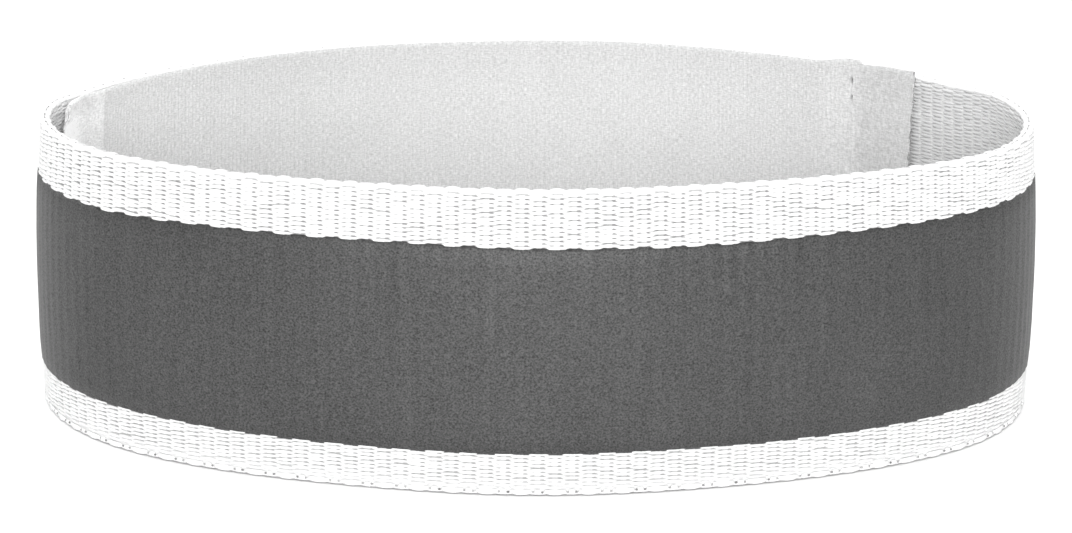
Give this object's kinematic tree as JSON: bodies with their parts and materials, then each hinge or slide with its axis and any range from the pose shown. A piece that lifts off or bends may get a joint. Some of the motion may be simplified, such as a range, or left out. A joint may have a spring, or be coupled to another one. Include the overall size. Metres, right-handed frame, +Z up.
{
  "type": "reflective armband",
  "caption": "Webbing armband closed into an oval loop, with a reflective tape round the outside and a soft closing strip inside the back.",
  "frame": {"origin": "under the middle of the loop, on the surface that its lower edge stands on", "axes": "+Z up along the loop's axis, the way the arm goes through; -Y is the front, +X the right seen from the front"},
  "size_m": [0.1314, 0.0856, 0.038],
  "materials": {
    "webbing": "white woven polyester webbing, matt, ribbed across",
    "tape": "grey glass-bead reflective fabric, matt, faintly ribbed by the webbing under it",
    "hooks": "white moulded hooks on a woven backing",
    "loop_fabric": "light grey knitted loop fabric, soft, fine ribs and a short nap"
  },
  "bodies": {
    "root": {"webbing_band": "webbing", "reflective_tape": "tape", "hook_patch": "hooks", "closure_strip": "loop_fabric"}
  },
  "joints": []
}
